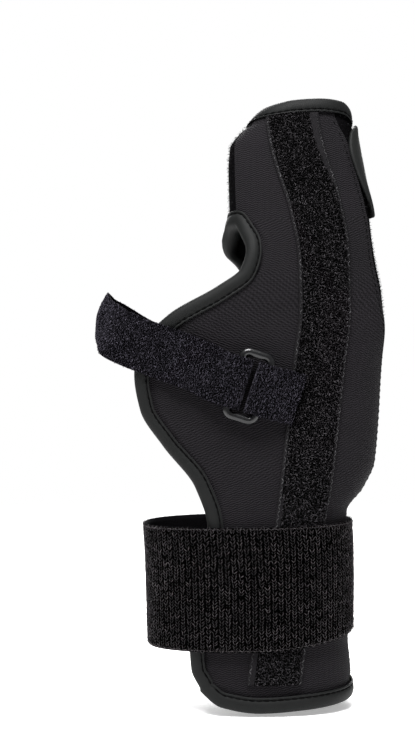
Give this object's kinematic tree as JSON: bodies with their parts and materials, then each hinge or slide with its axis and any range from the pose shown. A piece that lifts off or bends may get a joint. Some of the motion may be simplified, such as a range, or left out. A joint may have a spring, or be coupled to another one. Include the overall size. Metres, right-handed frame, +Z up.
{
  "type": "boxer fracture splint",
  "caption": "Padded right-hand gauntlet splint that cups the ring and little fingers, the hand's outer border and the wrist, held on by a ringed hand strap and a wide elastic wrist strap.",
  "frame": {"origin": "middle of the wrist hollow, at the middle of the wrist strap's height", "axes": "+Z up the hand towards the fingertips, -Y out of the back of the hand, +X towards the little-finger border"},
  "size_m": [0.1032, 0.0615, 0.2165],
  "materials": {
    "laminate": "fine ribbed knit over foam, matt",
    "loop_cloth": "brushed loop cloth over foam",
    "tape": "smooth folded binding tape with a slight sheen",
    "pile": "loop pile",
    "elastic": "ribbed woven elastic",
    "nap_webbing": "brushed elastic webbing",
    "ring": "dark, polished"
  },
  "bodies": {
    "root": {"dorsal_panel": "laminate", "volar_panel": "loop_cloth", "palm_binding": "tape", "rim_binding": "tape", "pile_strip": "pile", "finger_tab": "tape", "wrist_strap": "elastic", "hand_strap": "nap_webbing", "ring_tab": "nap_webbing", "strap_ring": "ring"}
  },
  "joints": []
}
